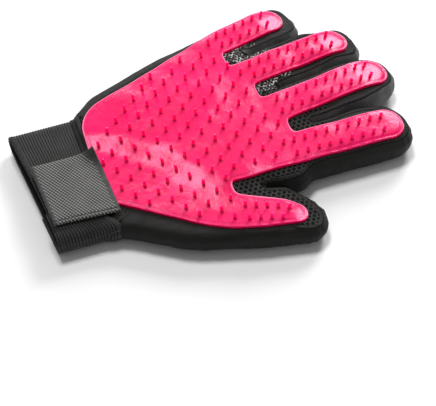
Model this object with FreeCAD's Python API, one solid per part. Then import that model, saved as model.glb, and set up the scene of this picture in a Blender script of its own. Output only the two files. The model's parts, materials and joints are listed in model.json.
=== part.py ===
"""Pet grooming glove for the right hand, lying on its back with the rubber-studded palm up.

The glove is a cloth shell (a front panel, a mesh back panel and the side gussets between them), a rubber
grip pad with studs on the palm side, a ribbed elastic cuff, and a hook-and-loop wrist strap. Each digit
is split at its knuckle and at its middle joint, because the cloth creases there.

All sizes are millimetres. The glove is drawn in a hand frame: x runs from the wrist seam towards the
fingers, y towards the little finger, and z up from the surface that the glove lies on. Every part is then
moved so that the origin is at the middle of the whole glove's footprint.
"""

import FreeCAD
import Part

import math
import os
from collections import namedtuple

Vector = FreeCAD.Vector
UP = Vector(0, 0, 1)

# Layers, from the floor up.
BACK_THICK = 1.6
SHELL_INNER_TOP = 15.0
FRONT_THICK = 1.0
PAD_THICK = 1.8
GUSSET_THICK = 1.2
FRONT_TOP = SHELL_INNER_TOP + FRONT_THICK
PAD_TOP = FRONT_TOP + PAD_THICK

# Rubber studs: small cones, moulded in one with the pad.
STUD_TALL = 4.8
STUD_BASE_R = 1.35
STUD_TIP_R = 0.75
STUD_ROOT = 0.4
STUD_EDGE_ROOM = 2.6
STUD_CREASE_ROOM = 1.6
# The palm's studs stand in rows that fan out a little: the step along a row, the step from a row to the
# next, and how much both grow with the square of the place in the row and of the row's number.
PALM_STUD_START = (44.2, -19.3, 0)
PALM_STUD_ALONG = (7.33, 6.28, 0)
PALM_STUD_NEXT_ROW = (5.77, -7.66, 0)
PALM_STUD_ALONG_GROWS = (0.033, 0.134, 0)
PALM_STUD_ROW_GROWS = (-0.034, 0.065, 0)
PALM_STUD_ROWS = range(-5, 10)
PALM_STUD_PLACES = range(-6, 12)
PALM_STUD_CLEAR = 5.4
# Two rows run along each digit, the thumb-side row a little behind the other.
DIGIT_STUD_PITCH = 6.9
DIGIT_STUD_FIRST = 1.2
DIGIT_STUD_LAG = 1.8
THUMB_STUD_PITCH = 6.2
THUMB_STUD_FIRST = 3.9
THUMB_STUD_LAG = 3.6
THUMB_STUD_SHIFT = -1.4

# Digits. Pad and cloth share one axis; the cloth stands past the pad's round tip.
CREASE_GAP = 0.4
Digit = namedtuple(
    "Digit", "name tip angle pad_r pad_taper cloth_r cloth_taper past tip_round knuckle middle")
DIGITS = [
    # name, pad tip centre, axis angle, pad half width and taper, cloth half width and taper, how far the
    # cloth stands past the pad, how round the cloth's tip is (1 is a half circle), and how far behind the
    # pad tip centre the knuckle and middle joint lie
    Digit("little", (137.8, 81.8), 15.3, 10.2, 0.0, 13.6, 0.0, 7.6, 0.66, 26.25, 5.55),
    Digit("ring", (168.9, 49.4), 9.7, 10.2, 0.0, 13.8, 0.0, 6.4, 0.66, 46.95, 19.35),
    Digit("middle", (181.3, 16.8), 9.1, 10.7, 0.0, 14.4, 0.0, 4.5, 0.85, 46.95, 19.35),
    Digit("index", (172.6, -26.2), 0.0, 11.0, 0.0, 15.0, 0.0, 5.0, 0.9, 40.05, 12.45),
    Digit("thumb", (98.9, -69.2), -20.4, 7.0, 8.5, 12.8, 9.0, 11.0, 0.85, 18.2, 5.7),
]
# Where the slot between each digit and the next one ends, for the pad and for the cloth.
PAD_SLOT_X = [100.2, 109.4, 118.0, 71.0]
CLOTH_SLOT_X = [111.5, 120.5, 129.0, 84.5]
PAD_SLOT_ROUND = 2.6
CLOTH_SLOT_ROUND = 2.4
PAD_TIP_ROUND = 0.9

# Palm outlines beside the digits, as (x, y, corner radius), each listed towards the thumb side.
PAD_LITTLE_SIDE = [(1.4, 42.8, 26.0), (55.5, 62.6, 60.0), (98.0, 81.4, 60.0)]
PAD_THUMB_SIDE = [(76.0, -73.0, 60.0), (57.0, -66.6, 80.0), (43.0, -57.8, 60.0), (0.0, -26.2, 5.0)]
CLOTH_LITTLE_SIDE = [
    (-12.0, 46.8, 4.6), (2.0, 46.8, 8.0), (13.0, 57.0, 18.0), (60.0, 72.6, 90.0), (104.0, 85.4, 60.0)]
CLOTH_THUMB_SIDE = [(74.0, -77.5, 70.0), (38.0, -67.5, 60.0), (4.0, -45.8, 14.0), (-12.0, -44.5, 4.6)]
EDGE_ROUND = 4.0

# Wrist cuff: one flattened tube of ribbed elastic, tucked into the hand shell. Its mouth is cut on a slant.
CUFF_Y = (-43.6, 45.6)
CUFF_MOUTH_X = -41.0
MOUTH_SLANT = 8.4
CUFF_TUCK = 6.0
CUFF_THICK = 1.8
CUFF_BOTTOM = BACK_THICK
CUFF_TOP = SHELL_INNER_TOP
CUFF_CORNER_R = 6.4
HEM_LONG = 3.0
BINDING_LONG = 2.4
BINDING_THICK = 1.0

# Strap: an elastic band round the thumb-side edge of the cuff, ending in hook tape.
LOOP_THICK = 1.2
BAND_THICK = 1.6
BAND_X = (-36.5, -2.6)
STRAP_FOLD_Y = -38.6
STRAP_GAP = 0.4
STRAP_LIFT = 0.1
ANCHOR_END_Y = -14.0
BAND_END_Y = -25.0
BAND_FROM_MOUTH = 0.6
TAPE_X = (-32.4, 4.2)
TAPE_Y = (-35.0, 10.6)
STUD_FREE_Y = 12.6
TAPE_THICK = 1.3
TAPE_CORNER_R = 1.5
PILE_THICK = 1.5
PILE_MARGIN = 1.5
LOOP_X = (-31.0, -3.0)
LOOP_Y = (-24.0, 9.4)


def rounded_outline(corners):
    """A closed wire through the corners, each (x, y, radius), with a tangent arc at each radius."""
    count = len(corners)
    points = [Vector(x, y, 0) for x, y, _ in corners]
    starts, ends, middles = [], [], []
    for i, (_, _, radius) in enumerate(corners):
        arriving = (points[i] - points[i - 1]).normalize()
        leaving = (points[(i + 1) % count] - points[i]).normalize()
        turn = arriving.getAngle(leaving)
        reach = radius * math.tan(turn / 2)
        start, end = points[i] - arriving * reach, points[i] + leaving * reach
        starts.append(start)
        ends.append(end)
        inward = (leaving - arriving).normalize() if turn > 1e-6 else Vector(0, 0, 0)
        middles.append(points[i] + inward * (radius / math.cos(turn / 2) - radius))
    edges = []
    for i in range(count):
        if (ends[i] - starts[i]).Length > 1e-4:
            edges.append(Part.Arc(starts[i], middles[i], ends[i]).toShape())
        following = starts[(i + 1) % count]
        if (following - ends[i]).Length > 1e-4:
            edges.append(Part.LineSegment(ends[i], following).toShape())
    return Part.Wire(edges)


def prism(wire, bottom, top):
    """The solid between two heights inside a flat outline."""
    solid = Part.Face(wire).extrude(UP * (top - bottom))
    return solid.translated(UP * bottom)


def direction(digit):
    angle = math.radians(digit.angle)
    return Vector(math.cos(angle), math.sin(angle), 0)


def across(digit):
    """The unit vector across a digit, towards the little finger's side."""
    along = direction(digit)
    return Vector(-along.y, along.x, 0)


def pad_width(digit):
    """Half width at the pad's tip centre, taper, outward move of the tip centre, and tip corner radius."""
    return digit.pad_r, math.tan(math.radians(digit.pad_taper)), 0.0, digit.pad_r * PAD_TIP_ROUND


def cloth_width(digit):
    outwards = digit.pad_r + digit.past - digit.cloth_r
    corner = digit.cloth_r * digit.tip_round
    return digit.cloth_r, math.tan(math.radians(digit.cloth_taper)), outwards, corner


def digit_point(digit, back, side, width):
    """The point on one side of a digit, so far back from its own tip centre."""
    radius, taper, outwards, _ = width(digit)
    centre = Vector(digit.tip[0], digit.tip[1], 0) + direction(digit) * (outwards - back)
    return centre + across(digit) * (side * (radius + back * taper))


def side_at_x(digit, x, side, width):
    """The point where one side of a digit crosses the given x."""
    near, far = digit_point(digit, 0, side, width), digit_point(digit, 50, side, width)
    return near + (far - near) * ((near.x - x) / (near.x - far.x))


def hand_outline(little_side, thumb_side, slots, slot_round, width):
    """The whole outline, from the wrist past every digit and back to the wrist."""
    corners = list(little_side)
    for number, digit in enumerate(DIGITS):
        radius, _, _, corner = width(digit)
        for side in (1, -1):
            tip = digit_point(digit, -radius, side, width)
            corners.append((tip.x, tip.y, corner))
        if number < len(slots):
            for owner, side in ((digit, -1), (DIGITS[number + 1], 1)):
                end = side_at_x(owner, slots[number], side, width)
                corners.append((end.x, end.y, slot_round))
    return rounded_outline(corners + list(thumb_side))


def slab(digit, start, end):
    """A tall block over one stretch of a digit, between two distances in front of its knuckle."""
    along, side = direction(digit), across(digit)
    knuckle = knuckle_point(digit)
    half = digit.cloth_r + (digit.knuckle + 6.0) * math.tan(math.radians(digit.cloth_taper)) + 1.0
    places = ((start, half), (end, half), (end, -half), (start, -half))
    corners = [knuckle + along * forward + side * sideways for forward, sideways in places]
    return prism(Part.makePolygon(corners + corners[:1]), -5, 60)


def knuckle_point(digit):
    return Vector(digit.tip[0], digit.tip[1], 0) - direction(digit) * digit.knuckle


def middle_point(digit):
    return Vector(digit.tip[0], digit.tip[1], 0) - direction(digit) * digit.middle


def crease_points(digit):
    """Both creases of a digit."""
    return knuckle_point(digit), middle_point(digit)


def split_by_digit(whole):
    """{section: shape}: the palm's share of a layer, and each digit's base and end."""
    half_gap = CREASE_GAP / 2
    beyond = 90.0
    sections, palm = {}, whole
    for digit in DIGITS:
        middle = digit.knuckle - digit.middle
        sections[digit.name + "_base"] = whole.common(slab(digit, half_gap, middle - half_gap))
        sections[digit.name + "_end"] = whole.common(slab(digit, middle + half_gap, beyond))
        palm = palm.cut(slab(digit, -half_gap, beyond))
    sections["palm"] = palm
    return sections


def palm_stud_places():
    """The fanned lattice of studs on the palm, before the places off the pad are dropped."""
    start, along, next_row = Vector(*PALM_STUD_START), Vector(*PALM_STUD_ALONG), Vector(*PALM_STUD_NEXT_ROW)
    fan, bend = Vector(*PALM_STUD_ALONG_GROWS), Vector(*PALM_STUD_ROW_GROWS)
    return [start + along * k + next_row * row + fan * k * k + bend * row * row
            for row in PALM_STUD_ROWS for k in PALM_STUD_PLACES]


def digit_stud_places(digit, root_x):
    """Two rows along a digit, from its tip back to the end of its slots."""
    places = []
    pitch, first, lag, shift = DIGIT_STUD_PITCH, DIGIT_STUD_FIRST, DIGIT_STUD_LAG, 0.0
    if digit.name == "thumb":
        pitch, first, lag, shift = THUMB_STUD_PITCH, THUMB_STUD_FIRST, THUMB_STUD_LAG, THUMB_STUD_SHIFT
    for side, late in ((1, 0.0), (-1, lag)):
        back = first + late
        while True:
            radius = digit.pad_r + back * math.tan(math.radians(digit.pad_taper))
            centre = Vector(digit.tip[0], digit.tip[1], 0) - direction(digit) * back
            place = centre + across(digit) * (side * 0.45 * radius + shift)
            if place.x < root_x:
                break
            places.append(place)
            back += pitch
    return places


def row_root_x(number):
    """Where a digit's two rows of studs end and the palm's lattice takes over."""
    return PAD_SLOT_X[min(number, 3)] - 1.0 if number != 3 else PAD_SLOT_X[2] - 4.0


def stud_places(pad_wire):
    """Every stud's place on the pad, clear of the pad's edge and of the creases."""
    face = Part.Face(pad_wire)
    rows, lattice = [], palm_stud_places()
    for number, digit in enumerate(DIGITS):
        rows += digit_stud_places(digit, row_root_x(number))
    places = []
    for place in rows:
        if clear_of_edges(place, face, pad_wire) and clear_of_creases(place):
            places.append(place)
    for place in lattice:
        near_row = any((place - other).Length < PALM_STUD_CLEAR for other in rows)
        if near_row or any(on_free_digit(place, digit) for digit in DIGITS):
            continue
        if clear_of_edges(place, face, pad_wire) and clear_of_creases(place):
            places.append(place)
    return places


def on_free_digit(place, digit):
    """Whether a place lies on a digit, in front of its knuckle."""
    offset = place - knuckle_point(digit)
    return offset.dot(direction(digit)) > 0 and abs(offset.dot(across(digit))) < digit.cloth_r + 2


def clear_of_edges(place, face, wire):
    under_tape = place.x < TAPE_X[1] + STUD_BASE_R and place.y < STUD_FREE_Y + STUD_BASE_R
    if under_tape or not face.isInside(place, 1e-3, True):
        return False
    return Part.Vertex(place).distToShape(wire)[0] > STUD_EDGE_ROOM


def clear_of_creases(place):
    for digit in DIGITS:
        for crease in crease_points(digit):
            offset = place - crease
            if abs(offset.dot(across(digit))) < digit.cloth_r + 2:
                if abs(offset.dot(direction(digit))) < STUD_CREASE_ROOM:
                    return False
    return True


def studs_on(section_pad, places, root):
    """The studs of one section of the pad. They start below its surface by the depth of the root."""
    flat_top = section_pad.BoundBox.ZMax
    studs = []
    for place in places:
        if section_pad.isInside(Vector(place.x, place.y, flat_top - 0.5), 1e-3, True):
            foot = Vector(place.x, place.y, flat_top - root)
            studs.append(Part.makeCone(STUD_BASE_R, STUD_TIP_R, STUD_TALL + root, foot, UP))
    return studs


def tube_outline(grow):
    """The cuff's outline across the wrist, in the y-z plane, grown outwards by so much."""
    left, right, radius = CUFF_Y[0] - grow, CUFF_Y[1] + grow, CUFF_CORNER_R + grow
    low, high = CUFF_BOTTOM - grow, CUFF_TOP + grow
    corners = [(left, low, radius), (right, low, radius), (right, high, radius), (left, high, radius)]
    wire = rounded_outline(corners)
    wire.rotate(Vector(0, 0, 0), Vector(1, 1, 1), 120)
    return wire


def tube(outer_grow, inner_grow, x_from, x_to):
    """A length of flattened tube along the wrist."""
    outer = Part.Face(tube_outline(outer_grow)).extrude(Vector(x_to - x_from, 0, 0))
    inner = Part.Face(tube_outline(inner_grow)).extrude(Vector(x_to - x_from, 0, 0))
    return outer.cut(inner).translated(Vector(x_from, 0, 0))


def block(x_range, y_range, bottom, top):
    size = (x_range[1] - x_range[0], y_range[1] - y_range[0], top - bottom)
    return Part.makeBox(*size, Vector(x_range[0], y_range[0], bottom))


def rounded_block(x_range, y_range, bottom, top, radius):
    (x0, x1), (y0, y1) = x_range, y_range
    corners = [(x, y, radius) for x, y in ((x0, y0), (x1, y0), (x1, y1), (x0, y1))]
    return prism(rounded_outline(corners), bottom, top)


def past_mouth(near, far):
    """A tall block between two distances from the cuff's slanted mouth."""
    low, high = CUFF_Y[0] - 10, CUFF_Y[1] + 10
    slope = MOUTH_SLANT / (CUFF_Y[1] - CUFF_Y[0])
    edge = [Vector(CUFF_MOUTH_X + (CUFF_Y[1] - y) * slope, y, 0) for y in (low, high)]
    corners = [edge[0] + Vector(near, 0, 0), edge[0] + Vector(far, 0, 0),
               edge[1] + Vector(far, 0, 0), edge[1] + Vector(near, 0, 0)]
    return prism(Part.makePolygon(corners + corners[:1]), -5, 60)


def strap_anchor():
    """The fixed end of the strap: it is sewn under the cuff and comes round its thumb-side edge."""
    ring = tube(BAND_THICK, 0.0, *BAND_X).common(past_mouth(BAND_FROM_MOUTH, 90))
    top_part = block(BAND_X, (-70, STRAP_FOLD_Y - STRAP_GAP / 2), 5, 25)
    under_part = block(BAND_X, (-70, ANCHOR_END_Y), -5, 5)
    return ring.common(top_part.fuse(under_part))


def rounded_body(wire, bottom, top, radius):
    """The solid between two heights inside an outline, its top and bottom edges rounded all round."""
    solid = prism(wire, bottom, top)
    rims = [edge for edge in solid.Edges if abs(edge.BoundBox.ZMax - edge.BoundBox.ZMin) < 1e-6]
    return solid.makeFillet(radius, rims)


def shell_layers(cloth_wire):
    """The cloth shell as three whole layers: the back sheet, the front sheet and the side walls."""
    hand = block((0, 300), (-150, 150), -5, 40)
    outer = rounded_body(cloth_wire, 0, FRONT_TOP, EDGE_ROUND).common(hand)
    inset = Part.Face(cloth_wire).makeOffset2D(-GUSSET_THICK).OuterWire
    cavity = rounded_body(inset, BACK_THICK, SHELL_INNER_TOP, EDGE_ROUND - GUSSET_THICK)
    wrist = block((-5, CUFF_TUCK), (CUFF_Y[0], CUFF_Y[1]), 0, 30)
    plan = ((-5, 300), (-150, 150))
    return {
        "back_panel": outer.common(block(*plan, 0, BACK_THICK)),
        "front_panel": outer.common(block(*plan, SHELL_INNER_TOP, FRONT_TOP)),
        "side_gusset": outer.common(block(*plan, BACK_THICK, SHELL_INNER_TOP)).cut(cavity).cut(wrist),
    }


def side_strips(palm_walls):
    """The palm's walls by name: the little-finger side, the thumb side, and the crotches between digits."""
    named = {"outer_side_gusset": [], "thumb_side_gusset": [], "finger_crotch_gussets": []}
    for wall in palm_walls.Solids:
        box = wall.BoundBox
        if box.XMin > 40:
            named["finger_crotch_gussets"].append(wall)
        elif box.Center.y > 0:
            named["outer_side_gusset"].append(wall)
        else:
            named["thumb_side_gusset"].append(wall)
    return {name: Part.makeCompound(walls) for name, walls in named.items()}


def hand_parts():
    """The shell and the grip pad, section by section."""
    sides = (CLOTH_LITTLE_SIDE, CLOTH_THUMB_SIDE)
    cloth_wire = hand_outline(*sides, CLOTH_SLOT_X, CLOTH_SLOT_ROUND, cloth_width)
    pad_wire = hand_outline(PAD_LITTLE_SIDE, PAD_THUMB_SIDE, PAD_SLOT_X, PAD_SLOT_ROUND, pad_width)
    layers = shell_layers(cloth_wire)
    layers["grip_pad"] = prism(pad_wire, FRONT_TOP, PAD_TOP)
    places = stud_places(pad_wire)
    parts = {}
    for layer, whole in layers.items():
        for section, shape in split_by_digit(whole).items():
            if layer == "grip_pad" and section == "palm":
                parts["palm_grip_studs"] = Part.makeCompound(studs_on(shape, places, 0.0))
            elif layer == "grip_pad":
                shape = shape.multiFuse(studs_on(shape, places, STUD_ROOT))
            if layer == "side_gusset" and section == "palm":
                parts.update(side_strips(shape))
            else:
                parts[section + "_" + layer] = shape
    return parts, len(places)


def wrist_parts():
    """The cuff, its hem and seam binding, and the loop patch sewn on it."""
    end = CUFF_MOUTH_X - 2
    return {
        "wrist_cuff": tube(0.0, -CUFF_THICK, end, CUFF_TUCK).common(past_mouth(HEM_LONG, 90)),
        "cuff_hem": tube(0.0, -CUFF_THICK, end, 0).common(past_mouth(0, HEM_LONG)),
        "wrist_seam_binding": tube(BINDING_THICK, 0.0, -BINDING_LONG, 0.0),
        "loop_patch": block(LOOP_X, LOOP_Y, CUFF_TOP, CUFF_TOP + LOOP_THICK),
        "strap_anchor": strap_anchor(),
    }


def strap_parts():
    """The free end of the strap, closed: the band, the hook tape over it and the tape's hooks."""
    band_bottom = CUFF_TOP + LOOP_THICK + STRAP_LIFT
    tape_bottom = band_bottom + BAND_THICK
    pile_x = (TAPE_X[0] + PILE_MARGIN, LOOP_X[1])
    pile_y = (BAND_END_Y + 1.0, TAPE_Y[1] - PILE_MARGIN)
    band = block(BAND_X, (STRAP_FOLD_Y + STRAP_GAP / 2, BAND_END_Y), band_bottom, tape_bottom)
    return {
        "strap_band": band.common(past_mouth(BAND_FROM_MOUTH, 90)),
        "hook_tape": rounded_block(TAPE_X, TAPE_Y, tape_bottom, tape_bottom + TAPE_THICK, TAPE_CORNER_R),
        "hook_pile": block(pile_x, pile_y, tape_bottom - PILE_THICK, tape_bottom),
    }


def hinge_facts():
    """{joint: (a point on its axis, the axis)} in the hand frame. A positive turn closes the hand."""
    facts = {}
    for digit in DIGITS:
        axis = -across(digit)
        for joint, point in (("knuckle", knuckle_point(digit)), ("middle", middle_point(digit))):
            facts[digit.name + "_" + joint] = (Vector(point.x, point.y, PAD_TOP), axis)
    fold_z = CUFF_TOP + LOOP_THICK + STRAP_LIFT + BAND_THICK
    facts["strap_peel"] = (Vector(sum(BAND_X) / 2, STRAP_FOLD_Y, fold_z), Vector(1, 0, 0))
    return facts


def build():
    """Every part in the final frame, and how far the hand frame was moved."""
    parts, stud_count = hand_parts()
    parts.update(wrist_parts())
    parts.update(strap_parts())
    box = Part.makeCompound(list(parts.values())).BoundBox
    shift = Vector(-box.Center.x, -box.Center.y, 0)
    return {name: shape.translated(shift) for name, shape in parts.items()}, shift, stud_count


def main():
    parts, shift, stud_count = build()
    os.makedirs("parts", exist_ok=True)
    for name, shape in sorted(parts.items()):
        shape.exportStep("parts/" + name + ".step")
        print(name, len(shape.Solids), "solids", round(shape.Volume), "mm3", shape.isValid())
    print("studs", stud_count, "shift", shift)
    return parts, shift


ALL_PARTS, SHIFT = main()
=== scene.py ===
"""Looks of a right-hand pet grooming glove that lies on its back, with its studded rubber palm up.

Shapes are worked out in millimetres in the row frame and turned into metres when a piece is made. The
outlines come from the CAD nodes: the grip pad's outline and the cloth's outline, each one closed loop
across the cuts at the digits' creases. Every layer (pad, front sheet, side gussets, back sheet) is built
whole over one smooth height field, then shared out between the palm and the digits. A face belongs to
the digit section that any of its corners has reached, so neighbouring pieces meet exactly.
"""

import json
import math
from collections import namedtuple

import bpy
import numpy as np
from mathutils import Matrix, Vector, noise
from mathutils.geometry import delaunay_2d_cdt
from mathutils.kdtree import KDTree


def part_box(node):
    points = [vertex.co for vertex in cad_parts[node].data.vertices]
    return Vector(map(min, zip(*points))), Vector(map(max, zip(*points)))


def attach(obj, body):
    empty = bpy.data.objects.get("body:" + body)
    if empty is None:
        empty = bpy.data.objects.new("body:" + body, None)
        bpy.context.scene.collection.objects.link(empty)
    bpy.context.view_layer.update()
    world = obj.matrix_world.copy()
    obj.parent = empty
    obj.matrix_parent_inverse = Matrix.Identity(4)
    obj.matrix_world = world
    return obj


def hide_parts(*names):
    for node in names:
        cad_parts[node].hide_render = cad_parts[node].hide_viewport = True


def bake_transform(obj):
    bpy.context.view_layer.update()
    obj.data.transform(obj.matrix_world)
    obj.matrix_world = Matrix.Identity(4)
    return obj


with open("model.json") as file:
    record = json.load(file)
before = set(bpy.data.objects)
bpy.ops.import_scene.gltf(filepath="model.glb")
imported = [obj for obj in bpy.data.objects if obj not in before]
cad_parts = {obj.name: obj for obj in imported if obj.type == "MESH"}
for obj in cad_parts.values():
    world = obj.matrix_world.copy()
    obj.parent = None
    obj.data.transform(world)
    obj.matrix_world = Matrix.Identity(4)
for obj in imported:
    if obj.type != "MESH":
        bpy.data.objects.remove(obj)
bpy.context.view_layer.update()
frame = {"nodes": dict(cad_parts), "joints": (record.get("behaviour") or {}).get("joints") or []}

MM = 0.001

# Heights of the shell, in millimetres above the floor.
MIDDLE_Z = 8.0
SHELL_HALF = 8.0
PAD_THICK = 1.8
CAD_PAD_BOTTOM = 16.0
CAD_BACK_TOP = 1.6
CAD_BACK_INSET = 0.8
CAD_STUD_TOP = 22.6

# Roundness of the shell's sides on the palm and on the digits.
PALM_ROUND, DIGIT_ROUND = 6.0, 3.6
SIDE_POWER = 2.3
# The palm's dome: its height, its middle line as (y at the wrist, slope), its half width at the wrist and
# how fast that widens. It fades by a share towards the digits, from a distance ahead of the wrist on.
PALM_DOME, DOME_MIDDLE_Y, DOME_HALF, DOME_WIDENS = 2.6, (2.0, 0.10), 52.0, 0.28
DOME_FADES, DOME_FADE_FROM, DOME_FADE_LONG = 0.6, 60.0, 110.0
# How far ahead of the wrist the palm is full.
WRIST_EASE = 55.0
# The back lies flatter than the front, with a soft wave.
BACK_FLATTER, BACK_WAVE = 1.3, 0.55
# A long soft step across the palm, where the cloth under the pad is folded over: a point on it, its
# direction across, how tall and wide it is, and how much it curves.
STEP_POINT, STEP_ACROSS, STEP_TALL, STEP_WIDE, STEP_CURVE = (-43.0, -12.0), (0.75, 0.66), 2.3, 16.0, 0.005
BUMP_POINT, BUMP_TALL, BUMP_RADIUS = (-7.8, 3.4), 0.8, 9.0
# Unevenness of the palm as (height, size) of its long waves and its dents.
WAVE_TALL, WAVE_LONG, DENT_TALL, DENT_LONG = 1.1, 34, 0.6, 15
# Each tip droops: its slope, and how far behind the cloth's tip it starts.
TIP_SLOPE = dict(little=0.26, ring=0.26, middle=0.26, index=0.10, thumb=0.22)
TIP_FROM, TIP_EASE = 24.0, 5.0
# How much of the gap to the next digit the cloth fills, from each side, and the most it may bulge.
GAP_SHARE, GAP_MOST = 0.45, 6.0
GAP_NEAR, GAP_FAR, NO_GAP = 2.5, 26.0, 99.0
# The filling gets slimmer past a digit's middle joint, by this share over this length.
TIP_SLIMMER, SLIMMER_LONG = 0.55, 18.0
# How much a digit's front is crowned, from this far past its knuckle on, and how the thumb's tip leans.
DIGIT_CROWN, CROWN_FROM, CROWN_EASE = 1.1, -14.0, 22.0
THUMB_TILT, TILT_EASE = 0.15, 12.0
# Where a digit's own roundness starts past its knuckle, and how far to its side it reaches.
DIGIT_FROM, DIGIT_EASE, DIGIT_MARGIN = -16.0, 14.0, 3.0
# The cloth also bulges past the pad along the palm's little-finger side.
SIDE_PUFF, SIDE_PUFF_X, SIDE_PUFF_LONG = 2.4, -16.0, 38.0

# Where the pieces of a digit start, in millimetres before a joint, and how far past it a bend was meant to
# spread.
KNUCKLE_LEAD, KNUCKLE_TRAIL = 1.5, 9.5
MIDDLE_LEAD, MIDDLE_TRAIL = 5.0, 6.0
# Points nearer than this to a crease count as on it.
ON_CREASE = 1e-3

# Elastic: its ribs, and the part of each rib's wave that is a groove, coloured near-black as painted shade.
RIB_PITCH, RIB_TALL, RIB_POWER, SHADED_GROOVE_SHARE = 1.65, 0.42, 0.7, 0.5
STEPS_PER_RIB = 6


# ---------------- small geometry helpers

def smoothstep(x):
    x = np.clip(x, 0, 1)
    return x * x * (3 - 2 * x)


def waves(points, size, seed):
    """Smooth noise from -1 to 1 at flat or 3-D points in millimetres, with lumps of roughly that size."""
    places = points / size + np.array((seed, -seed, 0))[:points.shape[1]]
    return np.array([noise.noise(Vector(p).to_3d()) for p in places])


def resampled(points, step):
    """A closed loop with its points evenly spaced."""
    closed = np.vstack([points, points[:1]])
    lengths = np.r_[0, np.cumsum(np.linalg.norm(np.diff(closed, axis=0), axis=1))]
    count = max(8, int(round(lengths[-1] / step)))
    at = np.arange(count) * lengths[-1] / count
    return np.stack([np.interp(at, lengths, closed[:, k]) for k in range(closed.shape[1])], axis=1)


def relaxed(points, passes):
    """A closed loop smoothed by averaging each point with its neighbours."""
    for _ in range(passes):
        points = 0.25 * np.roll(points, 1, axis=0) + 0.5 * points + 0.25 * np.roll(points, -1, axis=0)
    return points


class Outline:
    """A closed flat loop that runs anticlockwise, with its distances. They are measured to the part of the
    loop that edge(points) chooses, or to all of it."""

    DENSE_STEP = 0.3

    def __init__(self, points, step, edge=None):
        x, y = points[:, 0], points[:, 1]
        if np.sum(x * np.roll(y, -1) - y * np.roll(x, -1)) < 0:
            points = points[::-1]
        self.points = relaxed(resampled(points, step), 3)
        ahead = np.roll(self.points, -1, axis=0) - np.roll(self.points, 1, axis=0)
        ahead /= np.linalg.norm(ahead, axis=1)[:, None]
        self.outward = np.stack([ahead[:, 1], -ahead[:, 0]], axis=1)
        dense = resampled(self.points, self.DENSE_STEP)
        if edge is not None:
            dense = dense[edge(dense)]
        self.dense = dense
        self.tree = KDTree(len(dense))
        for i, p in enumerate(dense):
            self.tree.insert((p[0], p[1], 0), i)
        self.tree.balance()

    def distance(self, xy):
        return np.array([self.tree.find((p[0], p[1], 0))[2] for p in xy])

    def contains(self, xy):
        inside = np.zeros(len(xy), bool)
        for (x0, y0), (x1, y1) in zip(self.points, np.roll(self.points, -1, axis=0)):
            crosses = (y0 > xy[:, 1]) != (y1 > xy[:, 1])
            at = x0 + (xy[:, 1] - y0) * (x1 - x0) / (y1 - y0 if y1 != y0 else 1e-9)
            inside ^= crosses & (xy[:, 0] < at)
        return inside

    def signed(self, xy):
        """Distance from the loop: positive inside it."""
        return np.where(self.contains(xy), 1, -1) * self.distance(xy)

    def inset(self, amounts):
        """The loop moved inwards, by one amount or by one for each point."""
        return self.points - self.outward * np.asarray(amounts).reshape(-1, 1)


# ---------------- what the CAD says

class Digit(namedtuple("Digit", "name knuckle along across middle_at tip_at half")):
    """A digit's own directions. middle_at and tip_at are distances along it from the knuckle."""

    def measure(self, xy):
        """How far flat points lie ahead of the knuckle, and to the digit's side."""
        offset = xy - self.knuckle
        return offset @ self.along, offset @ self.across


def cad_vertices(node):
    """A CAD node's vertices in millimetres."""
    mesh = frame["nodes"][node].data
    co = np.zeros(len(mesh.vertices) * 3)
    mesh.vertices.foreach_get("co", co)
    return co.reshape(-1, 3) / MM


def read_digits():
    """The digits as the CAD's joints and back sheets place them."""
    joints = {j["name"]: j for j in frame["joints"]}
    digits = []
    for name in ("little", "ring", "middle", "index", "thumb"):
        knuckle, middle = (np.array(joints[f"{name}_{j}"]["pos_m"][:2]) / MM for j in ("knuckle", "middle"))
        axis = np.array(joints[f"{name}_knuckle"]["axis"][:2])
        across = -axis / np.linalg.norm(axis)
        along = np.array([across[1], -across[0]])
        end, base = (cad_vertices(f"{name}_{part}_back_panel")[:, :2] for part in ("end", "base"))
        digits.append(Digit(name, knuckle, along, across, (middle - knuckle) @ along,
                            ((end - knuckle) @ along).max(), abs((base - knuckle) @ across).max()))
    return digits


DIGITS = read_digits()


def cad_outline(layer, height):
    """The closed outline of a layer's flat faces at one height, joined across the cuts at the creases.

    An edge between two triangles is met once in each direction, and drops out."""
    edges = {}
    for node in (n for n in frame["nodes"] if n.endswith(layer)):
        co, mesh = np.round(cad_vertices(node), 2), frame["nodes"][node].data
        mesh.calc_loop_triangles()
        for triangle in mesh.loop_triangles:
            corners = [tuple(co[v]) for v in triangle.vertices]
            if all(abs(c[2] - height) < 0.02 for c in corners):
                flat = [c[:2] for c in corners]
                for a, b in zip(flat, flat[1:] + flat[:1]):
                    if (b, a) in edges:
                        del edges[(b, a)]
                    else:
                        edges[(a, b)] = True
    follows = {a: b for a, b in edges if crease_at(a) is None or crease_at(a) != crease_at(b)}
    here, loop = min(follows), []
    while here in follows:
        loop.append(here)
        here = follows.pop(here)
        if here not in follows and follows:
            left = np.array(sorted(follows))
            here = tuple(left[np.argmin(np.linalg.norm(left - here, axis=1))])
    return np.array(loop)


def crease_at(point):
    """The cut across a digit that an outline point lies on. An edge with both ends on it isn't outline."""
    for digit in DIGITS:
        ahead, beside = digit.measure(np.array(point))
        for at in (0, digit.middle_at):
            if abs(beside) < digit.half + 2 and abs(ahead - at) < 0.35:
                return digit.name, at
    return None


def off_wrist(points):
    """True for points on the hand, but not on its edge at the wrist."""
    return points[:, 0] > WRIST_X + 0.8


WRIST_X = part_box("palm_back_panel")[0].x / MM
PAD_STEP, CLOTH_STEP = 1.1, 1.2
PAD = Outline(cad_outline("grip_pad", CAD_PAD_BOTTOM), PAD_STEP)


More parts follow.
